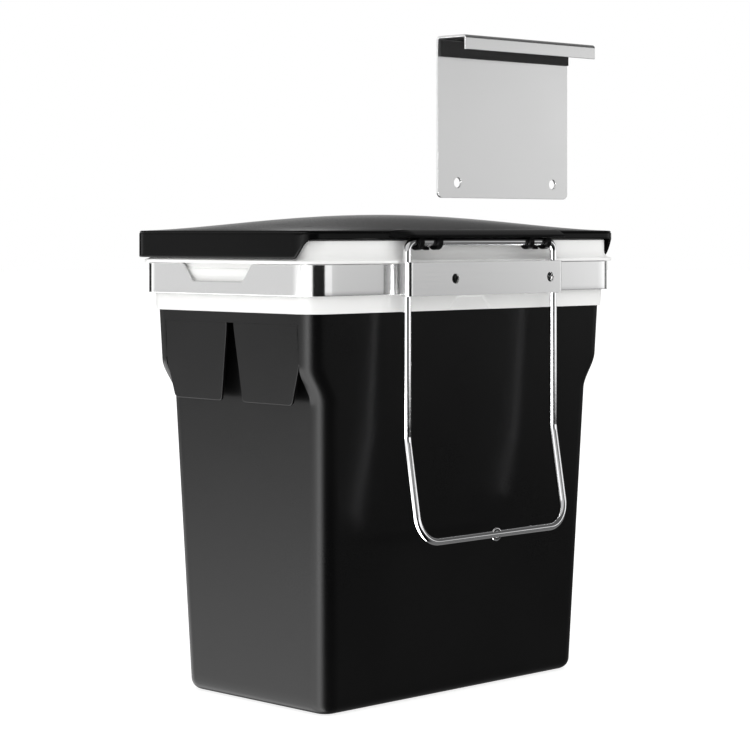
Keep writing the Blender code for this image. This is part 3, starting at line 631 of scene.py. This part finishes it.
# ---------------------------------------------------------------- support wire
def make_wire():
    """A round rod swept along the loop, carried without twist, and a flat eye at its foot."""
    r = WIRE
    leg = wire_high[0] - r
    reach = ROD_Y + LOOP_REACH
    foot = ROD_Z - LOOP_HEIGHT
    kink = ROD_Z - LOOP_KINK
    path = [(0, ROD_Y, ROD_Z), (-leg, ROD_Y, ROD_Z), (-leg, ROD_Y, kink), (-leg, reach, foot),
            (leg, reach, foot), (leg, ROD_Y, kink), (leg, ROD_Y, ROD_Z), (0, ROD_Y, ROD_Z)]
    line = fillet(path, [0.007, 0.03, 0.018, 0.018, 0.03, 0.007], 14)[:-1]
    run = np.roll(line, -1, 0) - np.roll(line, 1, 0)
    run /= np.linalg.norm(run, axis=1)[:, None]
    normal = np.array([0.0, 1.0, 0.0])
    rings = []
    a = np.linspace(0, 2 * np.pi, 32, endpoint=False)
    for p, d in zip(line, run):
        normal = normal - d * (normal @ d)
        normal /= np.linalg.norm(normal)
        side = np.cross(d, normal)
        rings.append(p + r * (np.cos(a)[:, None] * normal + np.sin(a)[:, None] * side))
    skin("wire_rod", np.array(rings), "frame", ["support_wire"], CHROME,
         wrap_rows=True)
    # eye: a washer with round edges
    section = fillet([(0.002, -0.002), (0.0048, -0.002), (0.0048, 0.002), (0.002, 0.002),
                      (0.002, -0.002)], [0.0008, 0.0008, 0.0006], 4)[:-1]
    b = np.linspace(0, 2 * np.pi, 48, endpoint=False)
    rad, dep = section[:, 0][:, None], section[:, 1][:, None]
    pts = stacked(rad * np.cos(b), reach + dep + 0 * b, foot + rad * np.sin(b))
    eye = skin("wire_eye", pts, "frame", [], CHROME, wrap_rows=True, flip=True)
    sharpen(eye, 50)


# ---------------------------------------------------------------- lid, hood and clips
LID_BOTTOM = lid_low[2]
LID_EDGE = LID_BOTTOM + 0.0172
LID_RIM = LID_EDGE + 0.0015
LID_REAR = ring_high[1] - 0.0035
LID_FRONT = lid_low[1]
LID_X = lid_high[0]
MID = (LID_REAR + LID_FRONT) / 2
HALF = (LID_REAR - LID_FRONT) / 2


def pillow(x, y):
    """11.6 mm (1 - (x / a)^2) (1 - (y / b)^2), nought at the lid's edges."""
    across, along = 1 - (x / LID_X) ** 2, 1 - ((y - MID) / HALF) ** 2
    return 0.0116 * np.clip(across, 0, 1) * np.clip(along, 0, 1)


def make_lid():
    """Rows run from under the dome's middle, out and down the inside of the skirt, round its
    edge, up the outside and over the dome. The skirt's edge rises in an S towards the hinge."""
    cols = columns(np.linspace(-1, 1, 81), np.linspace(-1, 1, 61), 18)
    wall = 0.0022
    shares = np.array([0.015, 0.05, 0.12, 0.2, 0.3, 0.4, 0.5, 0.6, 0.7, 0.8, 0.88, 0.94, 0.98,
                       1.0])

    def flat(inset):
        x, y = ring_xy(cols, LID_X - inset, HALF - inset, 0.015 - inset)
        return x[0], y[0] + MID

    rows = []

    def dome(inset, base, share):
        x, y = flat(inset)
        x, y = x * share, MID + (y - MID) * share
        rows.append(stacked(x, y, base + pillow(x, y)))

    start, length = LID_REAR - 0.0145, 0.012
    high = ring_high[2] + 0.0006

    def edge(inset, share, lift=0.0, drop=0.0):
        """Share of the way from the skirt's edge up to the lid's edge line."""
        x, y = flat(inset)
        low = LID_BOTTOM + (high - LID_BOTTOM) * smooth((flat(0.0)[1] - start) / length)
        z = low + (LID_EDGE - drop - low) * share + lift
        rows.append(stacked(x, y, z))

    for s in shares:
        dome(wall + 0.0006, LID_RIM - wall, s)
    for s in (0.95, 0.6, 0.3):
        edge(wall, s)
    edge(wall, 0, 0.0008)
    edge(wall - 0.0003, 0, 0.0002)
    edge(wall - 0.0008, 0)
    edge(0.0008, 0)
    edge(0.0003, 0, 0.0002)
    edge(0.0, 0, 0.0008)
    for s in (0.15, 0.4, 0.7, 0.9, 1.0):
        edge(0.0, s, 0.0, 0.0004)
    for inset, lift in ((0.00035, -0.0001), (0.0006, 0.0001), (0.0006, 0.0003),
                        (0.0004, 0.0005), (0.0005, 0.0009), (0.0009, 0.0013), (0.0015, 0.0015)):
        x, y = flat(inset)
        rows.append(stacked(x, y, LID_EDGE + lift))
    for s in shares[::-1][1:]:
        dome(0.0015, LID_RIM, s)
    obj = skin("lid_shell", np.array(rows), "lid", ["lid"], LID,
               caps=("first", "last"))
    sharpen(obj, 50)


def make_hood():
    """The roof over the hinge rod: one section drawn along X. At each end its rear eases back
    into the lid's rear edge by 3t^2 - 2t^3, over 22 mm on one side and 8 mm on the other."""
    under = ROD_Z + WIRE + 0.0004
    base = LID_REAR - 0.0030
    section = fillet([
        (base, under), (ROD_Y + 0.0042, under), (ROD_Y + 0.0045, under + 0.0008),
        (ROD_Y + 0.0036, under + 0.0018), (ROD_Y + 0.0020, under + 0.0027),
        (ROD_Y - 0.0010, under + 0.0042), (ROD_Y - 0.0050, under + 0.0055),
        (base, under + 0.0057)], [0.0004, 0.0006, 0.002, 0.004, 0.004, 0.006], 6)
    half, short, long = 0.0915, 0.008, 0.022
    xs = np.concatenate([-half + short * np.linspace(0, 1, 24),
                         np.linspace(-half + short, half - long, 60)[1:-1],
                         half - long * np.linspace(1, 0, 40)])
    draw = smooth((xs + half) / short) * smooth((half - xs) / long)
    y = base + (section[:, 0][None] - base) * np.maximum(draw, 0.02)[:, None]
    upper = smooth((section[:, 1] - under) / 0.004)[None]
    z = section[:, 1][None] - (1 - draw)[:, None] * upper * 0.0014
    pts = stacked(xs[:, None], y, z)
    obj = skin("lid_hood", pts, "lid", [], LID, caps=("first", "last"))
    face_outward(obj.data)
    sharpen(obj, 60)


def make_clips():
    """C-shaped hooks behind the rod and a tongue, on a saddle in front of it."""
    for name, node in (("clip_a", "hinge_clip_a"), ("clip_b", "hinge_clip_b")):
        low, high = [np.array(v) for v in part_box(node)]
        middle, width = (low[0] + high[0]) / 2, high[0] - low[0]
        parts = [("saddle", middle, width, 150, 195), ("tongue", middle, 0.004, 188, 282)]
        reach = (width - 0.0048) / 2
        parts += [("hook_p", middle + reach, 0.0048, 188, 392),
                  ("hook_n", middle - reach, 0.0048, 188, 392)]
        for i, (part, x, w, a0, a1) in enumerate(parts):
            a = np.radians(np.linspace(a0, a1, 24))
            outer = np.stack([ROD_Y + 0.0055 * np.cos(a), ROD_Z + 0.0055 * np.sin(a)], 1)
            inner = np.stack([ROD_Y + 0.0031 * np.cos(a), ROD_Z + 0.0031 * np.sin(a)], 1)[::-1]
            shrink = 0.0001 * (part != "saddle")  # so that end faces don't coincide
            nodes = [node] if i == 0 else []
            obj = prism(f"{name}_{part}", np.concatenate([outer, inner]), x - w / 2 + shrink,
                        x + w / 2 - shrink, 0, "lid", nodes, LID)
            bevelled(obj, 0.0004, 3, 50)


make_bucket()
make_flaps()
make_liner_ring()
make_band()
make_back_plate()
make_hook()
make_pad()
make_wire()
make_lid()
make_hood()
make_clips()


# ---------------------------------------------------------------- floor, light, camera
def stage():
    """A pale floor that takes shadows but is left out of reflections."""
    floor = Material("floor", (0.35, 0.35, 0.35), 0.9)
    floor.set("Emission Color", (1, 1, 1, 1))
    floor.set("Emission Strength", 0.80)
    mesh = bpy.data.meshes.new("floor")
    s, z = 14.0, -0.0004
    mesh.from_pydata([(-s, -s, z), (s, -s, z), (s, s, z), (-s, s, z)], [], [(0, 1, 2, 3)])
    mesh.materials.append(floor.made)
    obj = bpy.data.objects.new("floor", mesh)
    bpy.context.scene.collection.objects.link(obj)
    obj.visible_glossy = False
    obj.visible_shadow = False
    obj.visible_diffuse = False


def area(name, centre, target, size, power):
    """A rectangular light that neither the camera nor a reflection sees."""
    data = bpy.data.lights.new(name, "AREA")
    data.shape = "RECTANGLE"
    data.size, data.size_y = size
    data.energy = power
    obj = bpy.data.objects.new(name, data)
    bpy.context.scene.collection.objects.link(obj)
    obj.location = centre
    aim = Vector(target) - Vector(centre)
    obj.rotation_euler = aim.to_track_quat("-Z", "Y").to_euler()
    obj.visible_camera = False
    obj.visible_glossy = False


def surroundings():
    """The studio round the part. The camera sees white, diffuse light is even, and reflections see
    pale cards and dark gaps, set by compass direction in three bands of height."""
    world = bpy.data.worlds.new("studio")
    bpy.context.scene.world = world
    tree = Tree(world)
    place = tree.node("ShaderNodeTexCoord")
    split = tree.node("ShaderNodeSeparateXYZ", Vector=Socket(tree, place.outputs["Generated"]))
    x, y, z = [Socket(tree, split.outputs[letter]) for letter in "XYZ"]
    turn = y.math("ARCTAN2", x) * (1 / (2 * np.pi)) + 0.5

    def cards(walls):
        node = tree.node("ShaderNodeValToRGB", Fac=turn)
        stops = node.color_ramp.elements
        stops.remove(stops[1])
        for i, (degrees, level) in enumerate(walls):
            stop = stops[0] if i == 0 else stops.new(degrees / 360 + 0.5)
            stop.position = degrees / 360 + 0.5
            stop.color = (level, level, level, 1)
        return Socket(tree, node.outputs[0])

    low = cards([(-180, 0.03), (-112, 0.02), (-96, 0.4), (-53, 0.45), (-46.5, 1.0), (-24, 1.0),
                 (0, 0.4), (20, 0.0), (100, 0.0), (125, 0.02), (170, 0.02)])
    strip = cards([(-180, 0), (-34, 0), (-24, 0.08), (-13, 0.25), (-3, 0.56), (8, 1.0), (18, 0.9),
                   (29, 0.36), (39, 0.07), (46, 0)])
    middle = cards([(-180, 0.7), (-122, 0.7), (-112, 0.02), (-82, 0.02), (-78, 1.5), (-66, 1.5),
                    (-56, 0.95), (-45, 0.85), (-30, 1.2), (-8, 1.2), (-5, 0.5), (-2, 0.5),
                    (1, 1.3), (43, 1.3), (46, 0.01), (94, 0.01), (98, 1.3), (128, 1.25),
                    (132, 0.84), (134.4, 0.84), (135.6, 0.50), (137.4, 0.70), (139.5, 0.90),
                    (141.5, 1.4), (166, 1.4), (169, 0.01)])
    high = cards([(-180, 0.22), (-100, 0.22), (-60, 0.6), (70, 0.6), (90, 0.1), (165, 0.1),
                  (178, 0.28)])
    glow = z.ramp(-0.115, -0.235, 1.0, 7.8)
    plus = tree.node("ShaderNodeVectorMath", {"operation": "ADD"})
    for i, (colour, scale) in enumerate(((low, glow), (strip, z.ramp(-0.155, -0.10, 12.0, 28.0)))):
        scaled = tree.node("ShaderNodeVectorMath", {"operation": "SCALE"})
        tree.put(scaled.inputs[0], colour)
        tree.put(scaled.inputs["Scale"], scale)
        tree.put(plus.inputs[i], Socket(tree, scaled.outputs[0]))
    seen = tree.mix(z.ramp(-0.085, -0.045), Socket(tree, plus.outputs[0]), middle)
    seen = tree.mix(z.ramp(0.10, 0.20), seen, high)
    rays = tree.node("ShaderNodeLightPath")
    seen = tree.mix(Socket(tree, rays.outputs["Is Glossy Ray"]), (1.12, 1.12, 1.12), seen)
    seen = tree.mix(Socket(tree, rays.outputs["Is Camera Ray"]), seen, (1, 1, 1))
    tree.put(tree.nodes["Background"].inputs[0], seen)


def light_and_camera():
    scene = bpy.context.scene
    scene.view_settings.view_transform = "Standard"
    area("key", (1.6, -0.6, 0.9), (0.1, 0.0, 0.2), (1.2, 1.0), 5)
    area("top", (0.3, 0.4, 1.9), (0, 0, 0.3), (1.6, 1.6), 6)
    camera = bpy.data.cameras.new("camera")
    camera.lens = 112.08
    camera.shift_y = -0.1917
    obj = bpy.data.objects.new("camera", camera)
    scene.collection.objects.link(obj)
    psi = np.radians(135.3)
    back = np.array([np.sin(psi), -np.cos(psi), 0])
    right = np.array([np.cos(psi), np.sin(psi), 0])
    spot = back * 1.704 - right * 0.0069
    obj.location = (spot[0], spot[1], 0.3256)
    obj.rotation_euler = (np.pi / 2, 0, psi)
    scene.camera = obj


stage()
surroundings()
light_and_camera()
